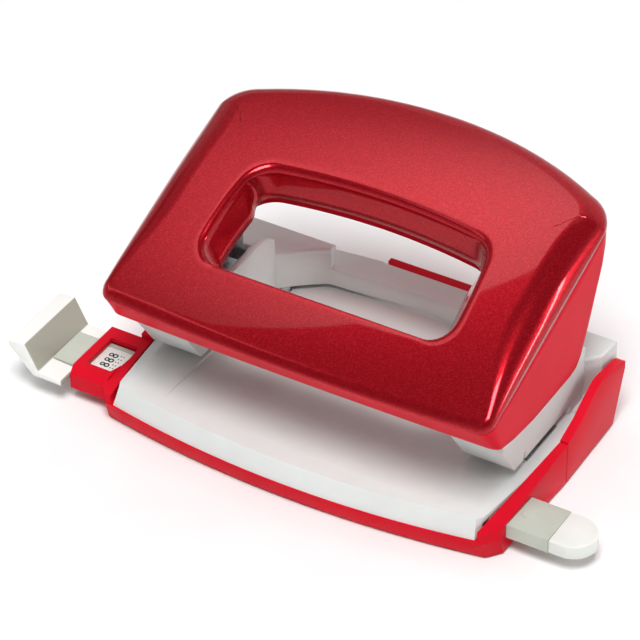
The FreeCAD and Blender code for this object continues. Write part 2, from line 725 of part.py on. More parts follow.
def punch_pin():
    """Turned pin with a hollow-ground end, a clip groove and a domed head."""
    body = new_body("punch_pin")
    r = s.punch_dia / 2
    head = r + s.head_step
    groove = r - 0.5
    crown_drop = s.head_crown - (s.head_crown.value ** 2 - head.value ** 2) ** 0.5
    edge = head_top - crown_drop
    sketch = new_sketch(body, "XZ", 0)
    draw_outline(sketch, [(0, s.pin_foot + 0.9), (r, s.pin_foot), (r, clip_under), (groove, clip_under),
                          (groove, clip_top), (r, clip_top), (r, head_top - 2.2), (head, head_top - 2.2),
                          (head, edge, s.head_crown), (0, head_top)])
    turn = body.newObject("PartDesign::Revolution", "Turn")
    turn.Profile = (sketch, [""])
    turn.ReferenceAxis = (sketch, ["V_Axis"])
    turn.Angle = 360
    document.recompute()
    bind(body, "Placement.Base.x", punch_x)
    return body


def pin_clip():
    body = new_body("pin_clip")
    groove = s.punch_dia / 2 - 0.5
    extrude(body, "XY", clip_under, clip_top, circles=[(punch_x, 0, spring_radius),
                                                       (punch_x, 0, groove)])
    extrude(body, "XY", clip_under - 1, clip_top + 1,
            [rectangle(punch_x - 1.6, -8, punch_x + 1.6, -0.5)], cut=True)
    return body


def spring_coil():
    """Helix of round wire between the lower flange and the clip."""
    wire = s.spring_wire.value
    mean = spring_radius.value - wire / 2
    low = spring_foot.value + wire / 2 + 0.05
    height = clip_under.value - spring_foot.value - wire - 0.1
    helix = Part.makeHelix(height / 6.0, height, mean)
    section = Part.Wire(Part.makeCircle(wire / 2, FreeCAD.Vector(mean, 0, 0), FreeCAD.Vector(0, 1, 0)))
    coil = Part.Wire(helix).makePipeShell([section], True, True)
    item = document.addObject("Part::Feature", "return_spring")
    item.Shape = coil
    item.Placement = FreeCAD.Placement(FreeCAD.Vector(punch_x.value, 0, low), FreeCAD.Rotation())
    return item


# ---------------------------------------------------------------- handle

def handle_plan(inset):
    half = s.handle_half - inset
    back = s.handle_back - inset
    front = s.handle_front - inset
    return mirrored([(half, -(front - 1.2)), (half, back - 16.5, 9),
                     (half - 6.6, back - 10.2, 92)], bow_radius(half, as_size(1.2)))


def window_plan(grow):
    """Plan of the grip window, slightly narrower towards the rear."""
    half = window_half + grow
    front = s.window_front + grow
    back = s.window_back + grow
    return mirrored([(half - 4.6, -front, 5), (half, -front + 4.8), (half - 1.3, back - 7.2, 6.5),
                     (half - 6.2, back - 2.2, 150)])


crease_front = (-(s.handle_front - 1.2), s.handle_front_height - 0.5)
crease_rear = (20.0, s.handle_top - 4.9)


def handle_skin():
    """Arched top shell with a rolled rim."""
    body = new_body("handle_skin")
    half = s.handle_half
    back = s.handle_back
    thick = s.skin_thick
    crown = s.handle_crown
    extrude(body, "YZ", -half, half,
            [[crease_front, crease_rear, (back, s.handle_top - 1.7), (back, s.handle_top, crown),
              (-s.handle_front, s.handle_front_height)]])
    trim(body, "XY", 20, 80, handle_plan(as_size(0)))
    hollow_half = half - thick
    extrude(body, "YZ", -hollow_half, hollow_half,
            [[(-s.handle_front + 3.6, 20), (back - 13.5, 20),
              (back - 13.5, s.handle_top - thick - 2.0, crown - thick),
              (-s.handle_front + 3.6, s.handle_front_height + 1.3)]], cut=True)
    extrude(body, "XY", 20, 80, [window_plan(as_size(0))], cut=True)
    return body


def handle_liner():
    """Lower shell: side walls, front lip, roof under the skin and window frame."""
    shell = new_body("LinerShell")
    half = s.handle_half
    wall = s.liner_wall
    gap = 0.05
    top_front = (crease_front[0], crease_front[1] - gap)
    top_rear = (crease_rear[0], crease_rear[1] - gap)
    back = s.handle_back
    extrude(shell, "YZ", -half, half,
            [[top_front, (-27.7, 27.7), (-19.9, 25.7), (-10.6, 24.6), (6.8, 24.5), (11.2, 26.7),
              (14.2, 32.7), (21.2, 50.0), (back - 0.6, s.handle_top - 3.0),
              (back - 0.6, s.handle_top - 1.9), top_rear]])
    trim(shell, "XY", 10, 80, handle_plan(as_size(0.05)))
    extrude(shell, "YZ", -half + wall, half - wall,
            [[(-25.4, 20), (-25.4, 27.6), (-29.0, 34.0), (17.0, 51.6), (17.0, 46.0), (40, 46.0),
              (40, 20)]], cut=True)
    extrude(shell, "XY", 10, 80, [window_plan(as_size(0.3))], cut=True)
    frame = new_body("WindowFrame")
    reach = window_half + 6
    extrude(frame, "YZ", -reach, reach,
            [[(-24.0, 29.6), (13, 43.8), (13, 50.2), (-24.0, 36.2)]])
    trim(frame, "XY", 10, 80, window_plan(as_size(2.0)))
    extrude(frame, "XY", 10, 80, [window_plan(as_size(0.3))], cut=True)
    bosses = [make_cylinder("Boss", x, 12, s.lever_seat + s.lever_thick, 3.0, 13)
              for x in (-lever_screw_x, lever_screw_x)]
    whole = join("LinerWhole", shell, frame, *bosses)
    holes = [make_cylinder("BossHole", x, 12, s.lever_seat, s.screw_dia / 2, 9)
             for x in (-lever_screw_x, lever_screw_x)]
    return cut_away("handle_liner", whole, join("BossHoles", *holes))


def lever_arm():
    """Pressed steel lever: hinge eye, upright arm and press flange."""
    body = new_body("lever_arm")
    y, z = s.pivot_back, s.pivot_height
    seat = s.lever_seat
    top = seat + s.lever_thick
    low, high = lever_inner, lever_inner + s.lever_thick
    extrude(body, "YZ", low, high,
            [[(y - 2.2, z - 2.85), (y + 2.2, z - 2.85, 3.6), (y + 2.2, z + 2.85), (y - 4.5, z + 3.2),
              (16.6, 22), (16.6, top), (-6, top), (-6, seat), (8, seat), (11.5, 30), (12.2, 22),
              (15.5, 14.5)]])
    extrude(body, "XY", seat, top, [rectangle(punch_x - s.lever_flange, -6, low + 1, 15)])
    extrude(body, "YZ", low - 1, high + 1, circles=[(y, z, s.pivot_dia / 2 + s.fit_gap)], cut=True)
    extrude(body, "XY", seat - 1, top + 1, circles=[(lever_screw_x, 12, s.screw_dia / 2 + 0.15)],
            cut=True)
    return body


def hinge_pin():
    return make_cylinder("hinge_pin", punch_x - s.pin_inside, s.pivot_back, s.pivot_height,
                         s.pivot_dia / 2, s.pin_length, "X")


def lever_screws():
    screws = []
    for x in (-lever_screw_x, lever_screw_x):
        head = make_cylinder("ScrewHead", x, 12, s.lever_seat - 1.3, 2.1, 1.3)
        shank = make_cylinder("ScrewShank", x, 12, s.lever_seat - 1.3, s.screw_dia / 2, 9)
        screws.append(join("LeverScrew", head, shank))
    return group("lever_screws", screws)


# ---------------------------------------------------------------- guide rail

def guide_rail():
    body = new_body("guide_rail")
    extrude(body, "XY", s.rail_low, s.rail_top,
            [rectangle(-rail_left, rail_front, rail_right, rail_rear)])
    # recess of the format strip and the row of detent notches on the rear edge
    extrude(body, "XY", s.rail_top - 0.4, s.rail_top + 1,
            [rectangle(-(s.base_half + 5.6), rail_front + 1.2, -(s.base_half - 2.0),
                       rail_rear - 1.2)], cut=True)
    for stop in (as_size(0.0), as_size(5.5), as_size(36.5), s.guide_travel):
        x = stop - s.detent_line
        extrude(body, "XY", s.rail_low - 1, s.rail_top + 1,
                [[(x - 1.3, rail_rear + 1), (x, rail_rear - 1.0), (x + 1.3, rail_rear + 1)]], cut=True)
    extrude(body, "XY", s.rail_top - 0.01, s.rail_top + 0.2,
            circles=[(s.base_half + 1.6, rail_front + 5.7, 1.6)])
    return body


def rail_end_cap():
    body = new_body("rail_end_cap")
    x0 = rail_right
    x1 = rail_right + s.cap_length
    extrude(body, "XY", s.rail_low, s.rail_top,
            [[(x0, rail_front), (x1 - 5, rail_front, 6.2), (x1, -s.rail_line, 6.2),
              (x1 - 5, rail_rear), (x0, rail_rear)]])
    return body


def paper_stop():
    body = new_body("paper_stop")
    left = rail_left
    extrude(body, "XZ", -32.0, -11.2,
            [[(-left + 6.2, 5.4), (-left + 6.2, 7.0), (-left, 7.4), (-left - 3.4, 13.9),
              (-left - 7.6, 13.5), (-left - 8.2, 12.2), (-left - 1.6, 5.4)]])
    extrude(body, "XY", 0, 12,
            [rectangle(-left, rail_front - 0.02, -left + 8, rail_rear + 0.02)], cut=True)
    return body


def format_strip():
    top = s.rail_top - 0.05
    return make_box("format_strip", -(s.base_half + 5.5), rail_front + 1.3, s.rail_top - 0.4,
                    -(s.base_half - 1.9), rail_rear - 1.3, top)


def rail_detent():
    """Leaf spring under the deck; its bent nose faces the rail's notched rear edge."""
    body = new_body("rail_detent")
    y = rail_rear
    x = -s.detent_line
    extrude(body, "XY", 5.2, deck_under,
            [[(x - 9, y + 1.2), (x - 1.2, y + 1.2), (x, y + 0.3), (x + 1.2, y + 1.2), (x + 9, y + 1.2),
              (x + 9, y + 1.6), (x + 1.0, y + 1.6), (x, y + 0.8), (x - 1.0, y + 1.6), (x - 9, y + 1.6)]])
    return body


# ---------------------------------------------------------------- build

def build():
    nodes = [base_frame(), front_feet(), chip_tray(), tray_feet(), deck_plate(), base_screws(),
             punch_housing(), housing_screws(), handle_skin(), handle_liner(), lever_screws(),
             guide_rail(), rail_end_cap(), paper_stop(), format_strip(), rail_detent()]
    for name, maker in (("die_plate", die_plate), ("hinge_cap", hinge_cap),
                        ("pin_bracket", pin_bracket), ("punch_pin", punch_pin),
                        ("pin_clip", pin_clip), ("return_spring", spring_coil),
                        ("lever_arm", lever_arm), ("hinge_pin", hinge_pin)):
        nodes += pair(name, maker())
    document.recompute()
    return nodes


def write(nodes):
    for item in document.Objects:
        if "Invalid" in item.State or "Error" in item.State:
            raise RuntimeError("%s failed: %s" % (item.Label, item.State))
    os.makedirs("parts", exist_ok=True)
    for node in nodes:
        shape = node.Shape
        if shape.isNull() or not shape.isValid():
            raise RuntimeError("%s has no valid shape" % node.Label)
        shape.exportStep("parts/%s.step" % node.Label)
        print("%-18s solids %d volume %9.1f" % (node.Label, len(shape.Solids), shape.Volume))


write(build())
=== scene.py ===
import bpy
import json
import math
from mathutils import Matrix, Vector


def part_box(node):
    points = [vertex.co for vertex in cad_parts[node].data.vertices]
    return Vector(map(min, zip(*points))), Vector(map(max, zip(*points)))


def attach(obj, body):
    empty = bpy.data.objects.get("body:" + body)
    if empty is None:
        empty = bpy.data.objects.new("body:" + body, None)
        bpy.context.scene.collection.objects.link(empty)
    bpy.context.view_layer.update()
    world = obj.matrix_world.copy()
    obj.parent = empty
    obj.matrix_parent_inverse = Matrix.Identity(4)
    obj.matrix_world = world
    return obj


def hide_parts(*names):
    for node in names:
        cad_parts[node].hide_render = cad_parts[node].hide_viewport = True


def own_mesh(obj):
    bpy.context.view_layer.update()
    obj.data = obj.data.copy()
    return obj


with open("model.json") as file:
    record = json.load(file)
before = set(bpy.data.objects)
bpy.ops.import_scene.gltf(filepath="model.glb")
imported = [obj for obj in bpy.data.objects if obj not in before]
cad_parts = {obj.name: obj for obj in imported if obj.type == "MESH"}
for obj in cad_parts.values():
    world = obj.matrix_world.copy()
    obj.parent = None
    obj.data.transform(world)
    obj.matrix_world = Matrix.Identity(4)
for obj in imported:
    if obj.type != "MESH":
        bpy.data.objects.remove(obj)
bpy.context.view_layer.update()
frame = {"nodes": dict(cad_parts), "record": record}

MM = 0.001


def box_mm(node):
    """Lowest and highest corner of a CAD node, in millimetres."""
    return tuple(tuple(c / MM for c in corner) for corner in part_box(node))


# ---------------------------------------------------------------- materials

def linear(code):
    """sRGB hex to the linear colour that shaders work in, by the sRGB curve."""
    parts = [int(code[i:i + 2], 16) / 255 for i in (1, 3, 5)]
    return tuple(p / 12.92 if p <= 0.04045 else ((p + 0.055) / 1.055) ** 2.4
                 for p in parts) + (1,)


def new_material(name, **surface):
    """An empty material with one principled surface, its constants set on the surface itself."""
    material = bpy.data.materials.new(name)
    material.use_nodes = True
    shader = material.node_tree.nodes["Principled BSDF"]
    for socket, value in surface.items():
        shader.inputs[socket.replace("_", " ")].default_value = value
    return material, shader


def add_node(material, kind, settings=(), links=(), feeds=()):
    """One node: settings name its own values or sockets, links come in, feeds go out."""
    node = material.node_tree.nodes.new(kind)
    for name, value in dict(settings).items():
        if name in node.inputs:
            node.inputs[name].default_value = value
        else:
            setattr(node, name, value)
    for name, source in dict(links).items():
        material.node_tree.links.new(source, node.inputs[name])
    for name, target in dict(feeds).items():
        material.node_tree.links.new(node.outputs[name], target)
    return node


def place(material):
    """Object-space position, which is metres in the shared frame."""
    return add_node(material, "ShaderNodeTexCoord").outputs["Object"]


def per_metre(millimetres):
    """Texture scale of a pattern whose cell is this wide."""
    return 1 / (millimetres * MM)


def colour_ramp(material, factor, stops):
    """Colours spread over a factor, each stop a position and a linear colour."""
    ramp = add_node(material, "ShaderNodeValToRGB", links={"Fac": factor})
    elements = ramp.color_ramp.elements
    while len(elements) < len(stops):
        elements.new(0.5)
    for element, (position, colour) in zip(elements, stops):
        element.position = position
        element.color = colour
    return ramp.outputs["Color"]


def moulded_grain(material, shader, grain_mm, height_mm, strength):
    """Spark-eroded grain of a moulding tool: tiny soft pits all over."""
    grain = add_node(material, "ShaderNodeTexNoise",
                     {"Scale": per_metre(grain_mm), "Detail": 2.0, "Roughness": 0.55},
                     {"Vector": place(material)})
    add_node(material, "ShaderNodeBump", {"Strength": strength, "Distance": height_mm * MM},
             {"Height": grain.outputs["Fac"]}, {"Normal": shader.inputs["Normal"]})


def tinted_by(material, shader, factor, stops):
    """Base colour from a ramp whose stops are positions and hex colours."""
    tint = colour_ramp(material, factor, [(at, linear(code)) for at, code in stops])
    material.node_tree.links.new(tint, shader.inputs["Base Color"])


def lacquered_abs_red():
    """ABS under a metallic red lacquer and a clear coat: fine aluminium flakes mirror the light
    in red, the coat adds a sharp pale reflection, and the rest stays deep red."""
    material, shader = new_material("lacquered_abs_red", Metallic=0.62, Roughness=0.2, IOR=1.5,
                                    Specular_IOR_Level=0.1, Coat_Weight=0.42,
                                    Coat_Roughness=0.025, Coat_IOR=1.48)
    flakes = add_node(material, "ShaderNodeTexVoronoi", {"Scale": per_metre(0.22)},
                      {"Vector": place(material)})
    tinted_by(material, shader, flakes.outputs["Color"],
              [(0.1, "#9C0917"), (0.55, "#AA0E1D"), (0.95, "#C0202C")])
    return material


SATIN_GRAIN = (0.35, 0.03, 0.16)     # cell and depth in millimetres, strength of the bump
RUBBER_GRAIN = (0.5, 0.05, 0.3)


def moulded_abs(name, light, dark, roughness, index=1.53):
    """Moulded ABS: an even colour with a faint drift, and a spark-eroded satin grain that
    breaks highlights into a soft sheen."""
    material, shader = new_material(name, IOR=index, Roughness=roughness,
                                    Specular_IOR_Level=0.25)
    drift = add_node(material, "ShaderNodeTexNoise", {"Scale": per_metre(14), "Detail": 3.0},
                     {"Vector": place(material)})
    tinted_by(material, shader, drift.outputs["Fac"], [(0.3, dark), (0.7, light)])
    moulded_grain(material, shader, *SATIN_GRAIN)
    return material


def moulded_abs_painted_shade():
    """Pale ABS with painted shade: faces that turn towards +X, its inner faces towards the paper,
    are painted a darker greener grey that stands in for the shade on them.
    """
    material, shader = new_material("moulded_abs_painted_shade", IOR=1.53, Roughness=0.4,
                                    Specular_IOR_Level=0.2)
    facing = add_node(material, "ShaderNodeNewGeometry")
    split = add_node(material, "ShaderNodeSeparateXYZ", links={"Vector": facing.outputs["Normal"]})
    # painted shade: pale on faces that turn away from +X, darker greener grey on faces that turn
    # towards it
    tinted_by(material, shader, split.outputs["X"], [(0.35, "#F2F3EF"), (0.62, "#ABB0A2")])
    moulded_grain(material, shader, *SATIN_GRAIN)
    return material


def pressed_steel():
    """Cold-rolled zinc-plated sheet: grey, with rolling lines along one way."""
    material, shader = new_material("pressed_steel", Metallic=1.0)
    stretch = add_node(material, "ShaderNodeMapping", {"Scale": (1, 12, 1)},
                       {"Vector": place(material)})
    lines = add_node(material, "ShaderNodeTexNoise", {"Scale": per_metre(1.2), "Detail": 6.0},
                     {"Vector": stretch.outputs["Vector"]})
    tinted_by(material, shader, lines.outputs["Fac"], [(0.3, "#8F9498"), (0.7, "#BCC1C5")])
    rough = add_node(material, "ShaderNodeMapRange", {"To Min": 0.26, "To Max": 0.42},
                     {"Value": lines.outputs["Fac"]})
    material.node_tree.links.new(rough.outputs["Result"], shader.inputs["Roughness"])
    return material


WAVES_PER_UNIT = 6.3     # bands that a wave texture draws in one unit at scale 1


def turned_steel():
    """Hardened, ground pin steel: bright, with fine rings round the axis."""
    material, shader = new_material("turned_steel", Metallic=1.0, Roughness=0.16)
    rings = add_node(material, "ShaderNodeTexWave",
                     {"wave_type": "BANDS", "bands_direction": "Z", "Distortion": 0.6,
                      "Scale": per_metre(0.5) / WAVES_PER_UNIT}, {"Vector": place(material)})
    tinted_by(material, shader, rings.outputs["Fac"], [(0.0, "#B4B8BC"), (1.0, "#D6DADC")])
    add_node(material, "ShaderNodeBump", {"Strength": 0.06, "Distance": 0.01 * MM},
             {"Height": rings.outputs["Fac"]}, {"Normal": shader.inputs["Normal"]})
    return material


def drawn_spring_wire():
    """Drawn spring steel: darker and duller than the pins, with draw marks."""
    material, shader = new_material("drawn_spring_wire", Metallic=1.0, Roughness=0.33)
    marks = add_node(material, "ShaderNodeTexNoise", {"Scale": per_metre(0.8), "Detail": 4.0},
                     {"Vector": place(material)})
    tinted_by(material, shader, marks.outputs["Fac"], [(0.3, "#74787C"), (0.7, "#9EA2A6")])
    return material


def moulded_rubber():
    """Soft black rubber with a dusty matt face."""
    material, shader = new_material("moulded_rubber", IOR=1.52, Roughness=0.82)
    dust = add_node(material, "ShaderNodeTexNoise", {"Scale": per_metre(2.5), "Detail": 5.0},
                    {"Vector": place(material)})
    tinted_by(material, shader, dust.outputs["Fac"], [(0.35, "#1B1B1D"), (0.75, "#323235")])
    moulded_grain(material, shader, *RUBBER_GRAIN)
    return material


def printed_film(name, code):
    """Thin printed film: flat colour, slightly glossy, with faint print mottle."""
    material, shader = new_material(name, IOR=1.49, Roughness=0.28)
    mottle = add_node(material, "ShaderNodeTexNoise", {"Scale": per_metre(0.6), "Detail": 2.0},
                      {"Vector": place(material)})
    paler = tuple(min(1.0, c * 1.08 + 0.004) for c in linear(code)[:3]) + (1,)
    tint = colour_ramp(material, mottle.outputs["Fac"], [(0.3, linear(code)), (0.7, paler)])
    material.node_tree.links.new(tint, shader.inputs["Base Color"])
    return material


red_lacquer = lacquered_abs_red()
red_moulded = moulded_abs("moulded_abs_red", "#D8152B", "#CE1026", 0.36, index=1.18)
white_moulded = moulded_abs("moulded_abs_white", "#DCE0DE", "#D5D9D7", 0.4)
grey_moulded = moulded_abs("moulded_abs_grey", "#C2C7BC", "#B6BCB0", 0.4)
pale_moulded = moulded_abs("moulded_abs_pale", "#E9EBE6", "#DFE2DC", 0.4)
stop_painted_shade = moulded_abs_painted_shade()
sheet_steel = pressed_steel()
pin_steel = turned_steel()
spring_steel = drawn_spring_wire()
black_rubber = moulded_rubber()
strip_film = printed_film("printed_film_white", "#E9ECE7")
ink = printed_film("printed_ink_black", "#1C1D1F")

SLOT_MATERIALS = {
    "red_gloss": red_lacquer, "red_satin": red_moulded, "red_base": red_moulded,
    "white_plastic": white_moulded, "grey_plastic": grey_moulded, "pale_plastic": pale_moulded,
    "label": strip_film, "steel": sheet_steel, "bright_steel": pin_steel,
    "spring_steel": spring_steel, "rubber": black_rubber,
}


# ---------------------------------------------------------------- mesh helpers

def new_piece(name, points, faces, body, slot, replaces=(), smooth=True):
    """A mesh from points in millimetres, riding on a CAD body."""
    mesh = bpy.data.meshes.new(name)
    mesh.from_pydata([tuple(c * MM for c in p) for p in points], [], faces)
    mesh.validate()
    mesh.update()
    piece = bpy.data.objects.new(name, mesh)
    bpy.context.scene.collection.objects.link(piece)
    if smooth:
        mesh.shade_smooth()
    mesh.materials.append(SLOT_MATERIALS[slot])
    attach(piece, body)
    for node in replaces:
        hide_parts(node)
    return piece


WELD_REACH = 0.004        # millimetres; closes the seams between the CAD's triangles
FLAT_ANGLE = 1.0          # degrees; triangles within it are joined into one face
HARD_ANGLE = 32           # degrees; edges sharper than this get a radius


def soften(piece, radius_mm):
    """Small moulded radius on every hard edge."""
    weld = piece.modifiers.new("weld", "WELD")
    weld.merge_threshold = WELD_REACH * MM
    flat = piece.modifiers.new("flat", "DECIMATE")
    flat.decimate_type = "DISSOLVE"
    flat.angle_limit = math.radians(FLAT_ANGLE)
    bevel = piece.modifiers.new("soft edges", "BEVEL")
    bevel.width = radius_mm * MM
    bevel.segments = 3
    bevel.limit_method = "ANGLE"
    bevel.angle_limit = math.radians(HARD_ANGLE)
    bevel.harden_normals = True
    bevel.use_clamp_overlap = True
    piece.data.shade_smooth()


def tube_of_rings(rings, closed=True):
    """Points and faces of rings that all have the same number of points. A closed stack
    joins the last ring to the first, so the piece is a closed shell."""
    count = len(rings[0])
    points = [p for ring in rings for p in ring]
    faces = []
    steps = len(rings) if closed else len(rings) - 1
    for r in range(steps):
        a = r * count
        b = ((r + 1) % len(rings)) * count
        for i in range(count):
            j = (i + 1) % count
            faces.append((a + i, a + j, b + j, b + i))
    return points, faces


# ---------------------------------------------------------------- handle

skin_low, skin_high = box_mm("handle_skin")
HALF = round(skin_high[0], 1)      # half the width of the handle
FRONT = round(skin_low[1], 1)      # front edge at the middle
BACK = round(skin_high[1], 1)      # rear edge at the middle
FRONT_HEIGHT = 35.5                # where the arched top starts ...
BACK_HEIGHT = 60.0                 # ... and ends, in the side view
CROWN = 116.0                      # radius of the arched top, side view
SKIN = 1.6                         # wall of the lacquered top
FRONT_CORNER = (45.9, -31.87)      # plan: the front arc ends and the corner starts
SIDE_FRONT = -28.8                 # plan: the straight side starts ...
SIDE_BACK = 20.0                   # ... and ends
REAR_CORNER = (42.4, 28.3)         # plan: the rear corner ends and the rear arc starts
WINDOW_FRONT = -19.0               # plan: the grip window's edges at the middle
WINDOW_BACK = 8.0
WINDOW_ROLL = 1.6                  # radius of the edge that rolls down into the window
WINDOW_DRAW = 3.4                  # how far the window's front wall leans in at its foot


def circle_through(a, b, radius):
    """Centre of the arc that bulges upward between two points of a side view."""
    mx, mz = (a[0] + b[0]) / 2, (a[1] + b[1]) / 2
    dx, dz = b[0] - a[0], b[1] - a[1]
    chord = math.hypot(dx, dz)
    down = math.sqrt(radius ** 2 - chord ** 2 / 4)
    return mx + dz / chord * down, mz - dx / chord * down


ARCH_CENTRE = circle_through((FRONT, FRONT_HEIGHT), (BACK, BACK_HEIGHT), CROWN)


def arch(y):
    """Height of the handle's top."""
    return ARCH_CENTRE[1] + math.sqrt(max(0.0, CROWN ** 2 - (y - ARCH_CENTRE[0]) ** 2))


def along(profile, y):
    """Height on a side-view polyline."""
    if y <= profile[0][0]:
        return profile[0][1]
    for (y0, z0), (y1, z1) in zip(profile, profile[1:]):
        if y <= y1:
            return z0 + (z1 - z0) * (y - y0) / (y1 - y0)
    return profile[-1][1]


CREASE = [(FRONT, 34.6), (-31.8, 35.0), (SIDE_BACK, 55.1), (BACK, 58.4)]


def crease(y):
    """Height of the line where the lacquered top meets the liner."""
    return along(CREASE, y)


def arc_points(start, end, radius, count):
    """Points from start towards end on an arc that bulges to the right of its travel."""
    mx, my = (start[0] + end[0]) / 2, (start[1] + end[1]) / 2
    dx, dy = end[0] - start[0], end[1] - start[1]
    chord = math.hypot(dx, dy)
    back = math.sqrt(max(0.0, radius ** 2 - chord ** 2 / 4))
    cx, cy = mx - dy / chord * back, my + dx / chord * back
    a0 = math.atan2(start[1] - cy, start[0] - cx)
    a1 = math.atan2(end[1] - cy, end[0] - cx)
    if a1 < a0:
        a1 += 2 * math.pi
    return [(cx + radius * math.cos(a0 + (a1 - a0) * i / count),
             cy + radius * math.sin(a0 + (a1 - a0) * i / count)) for i in range(count)]


def line_points(start, end, count):
    """Points from start towards end on a straight line."""
    return [(start[0] + (end[0] - start[0]) * i / count,
             start[1] + (end[1] - start[1]) * i / count) for i in range(count)]


def mirror_right(right):
    """Whole outline from its right half, which runs from the front middle to the rear middle."""
    return right + [(-x, y) for x, y in reversed(right[1:-1])]


def handle_outline():
    """Plan of the handle, evenly sampled between its corners."""
    right = arc_points((0.0, FRONT), FRONT_CORNER, 940, 40)
    right += arc_points(FRONT_CORNER, (HALF, SIDE_FRONT), 3.1, 8)
    right += line_points((HALF, SIDE_FRONT), (HALF, SIDE_BACK), 56)
    right += arc_points((HALF, SIDE_BACK), REAR_CORNER, 10.5, 16)
    right += arc_points(REAR_CORNER, (0.0, BACK), 92, 40)
    right.append((0.0, BACK))
    return mirror_right(right)


def window_outline():
    """Plan of the grip window with the same number of points as the handle's plan."""
    right = line_points((0.0, WINDOW_FRONT), (26.2, WINDOW_FRONT), 40)
    right += arc_points((26.2, WINDOW_FRONT), (31.0, -14.0), 5.0, 8)
    right += arc_points((31.0, -14.0), (29.9, 0.6), 90, 56)
    right += arc_points((29.9, 0.6), (24.0, 6.2), 7.0, 16)
    right += arc_points((24.0, 6.2), (0.0, WINDOW_BACK), 170, 40)
    right.append((0.0, WINDOW_BACK))
    return mirror_right(right)


def inward_normals(outline):
    """Unit normals towards the inside of a counter-clockwise outline."""
    normals = []
    count = len(outline)
    for i in range(count):
        ax, ay = outline[i - 1]
        bx, by = outline[(i + 1) % count]
        length = math.hypot(bx - ax, by - ay) or 1.0
        normals.append((-(by - ay) / length, (bx - ax) / length))
    return normals


def inset(outline, distances):
    """Outline moved inwards, by one distance or one for each point."""
    normals = inward_normals(outline)
    if not isinstance(distances, list):
        distances = [distances] * len(outline)
    return [(x + nx * d, y + ny * d)
            for (x, y), (nx, ny), d in zip(outline, normals, distances)]


def mix(a, b, t):
    """Outline part of the way from one outline to another."""
    return [(ax + (bx - ax) * t, ay + (by - ay) * t) for (ax, ay), (bx, by) in zip(a, b)]


def ease(t):
    """Smooth step from 0 to 1."""
    return t * t * (3 - 2 * t)


ROLL_SIDE = 42.0         # the outline further out than this counts as a side
ROLL_SMOOTHING = 6       # points on either side that the roll's reach is averaged over


def roll_reach(outer):
    """How far in the rim's roll reaches at each point: it follows the rim's height, and
    opens out along the sides from the tight front corners."""
    reach = []
    for x, y in outer:
        height = arch(y) - crease(y)
        if abs(x) > ROLL_SIDE:
            reach.append(max(1.5, min(7.0, 1.6 + 0.32 * (y + 30.0), 1.6 * height)))
        else:
            reach.append(max(1.4, 1.6 * height))
    near = ROLL_SMOOTHING
    return [sum(reach[i - near:i + near + 1]) / (2 * near + 1)
            if near <= i < len(reach) - near else reach[i] for i in range(len(reach))]


def rolled_rim(outer, reach, thick):
    """Rings from the crease up to the top face, on the outside or a wall's thickness in."""
    for step in range(11):
        turn = math.radians(9 * step)
        ring = inset(outer, [thick + (a - thick * 0.4) * (1 - math.cos(turn)) for a in reach])
        lifted = []
        for (x, y), (_, y0) in zip(ring, outer):
            top = arch(y) - thick
            low = crease(y0) + (0.0 if thick == 0 else 0.15)
            lifted.append((x, y, low + (max(top, low) - low) * math.sin(turn)))
        yield lifted


def grip_shell():
    """Lacquered top: rolled rim, arched face, grip window with its own turned-down wall."""
    outer = handle_outline()
    window = window_outline()
    reach = roll_reach(outer)
    rings = list(rolled_rim(outer, reach, 0.0))
    shoulder = [(x, y) for x, y, _ in rings[-1]]
    lip = inset(window, -WINDOW_ROLL)
    for step in range(1, 17):
        ring = mix(shoulder, lip, step / 16)
        rings.append([(x, y, arch(y)) for x, y in ring])
    for turn in (18, 36, 54, 72, 90):
        a = math.radians(turn)
        ring = inset(window, -WINDOW_ROLL * (1 - math.sin(a)))
        rings.append([(x, y, arch(y) - WINDOW_ROLL * (1 - math.cos(a))) for x, y in ring])
    # the window's wall, drawn in towards its lower edge at the front and sides
    draw = [WINDOW_DRAW * ease(max(0.0, min(1.0, (6.0 - y) / 8.0))) for _, y in window]
    for depth in (2.5, 4.5, 6.5, 8.2):
        ring = inset(window, [d * (depth - WINDOW_ROLL) / 7.0 for d in draw])
        rings.append([(x, y, arch(y0) - depth) for (x, y), (_, y0) in zip(ring, window)])
    # its foot turns round and the inside goes back up
    bottom = inset(window, [d - 0.6 for d in draw])
    rings.append([(x, y, arch(y0) - 8.7) for (x, y), (_, y0) in zip(bottom, window)])
    bottom = inset(window, [d - 1.4 for d in draw])
    rings.append([(x, y, arch(y0) - 8.4) for (x, y), (_, y0) in zip(bottom, window)])
    rings.append([(x, y, arch(y) - 2.6) for x, y in inset(window, -1.8)])
    inside = list(rolled_rim(outer, reach, SKIN))
    under = [(x, y) for x, y, _ in inside[-1]]
    for step in range(8):
        ring = mix(inset(window, -3.0), under, step / 8)
        rings.append([(x, y, arch(y) - SKIN) for x, y in ring])
    rings += reversed(inside)
    points, faces = tube_of_rings(rings)
    return new_piece("grip_shell", points, faces, "handle", "red_gloss", ["handle_skin"])


# side view of the liner's lower edge
LOWER = [(-27.7, 27.7), (-19.9, 25.7), (-10.6, 24.6), (6.8, 24.5), (9.6, 25.2), (11.4, 27.2),
         (14.2, 33.0), (21.2, 50.0), (24.0, 51.6), (BACK, 56.8)]
LIP_BACK = -20.0         # in front of this the cheeks lean back into the front lip
ROOF_DROP = 1.9          # the liner's roof lies this far under the crease


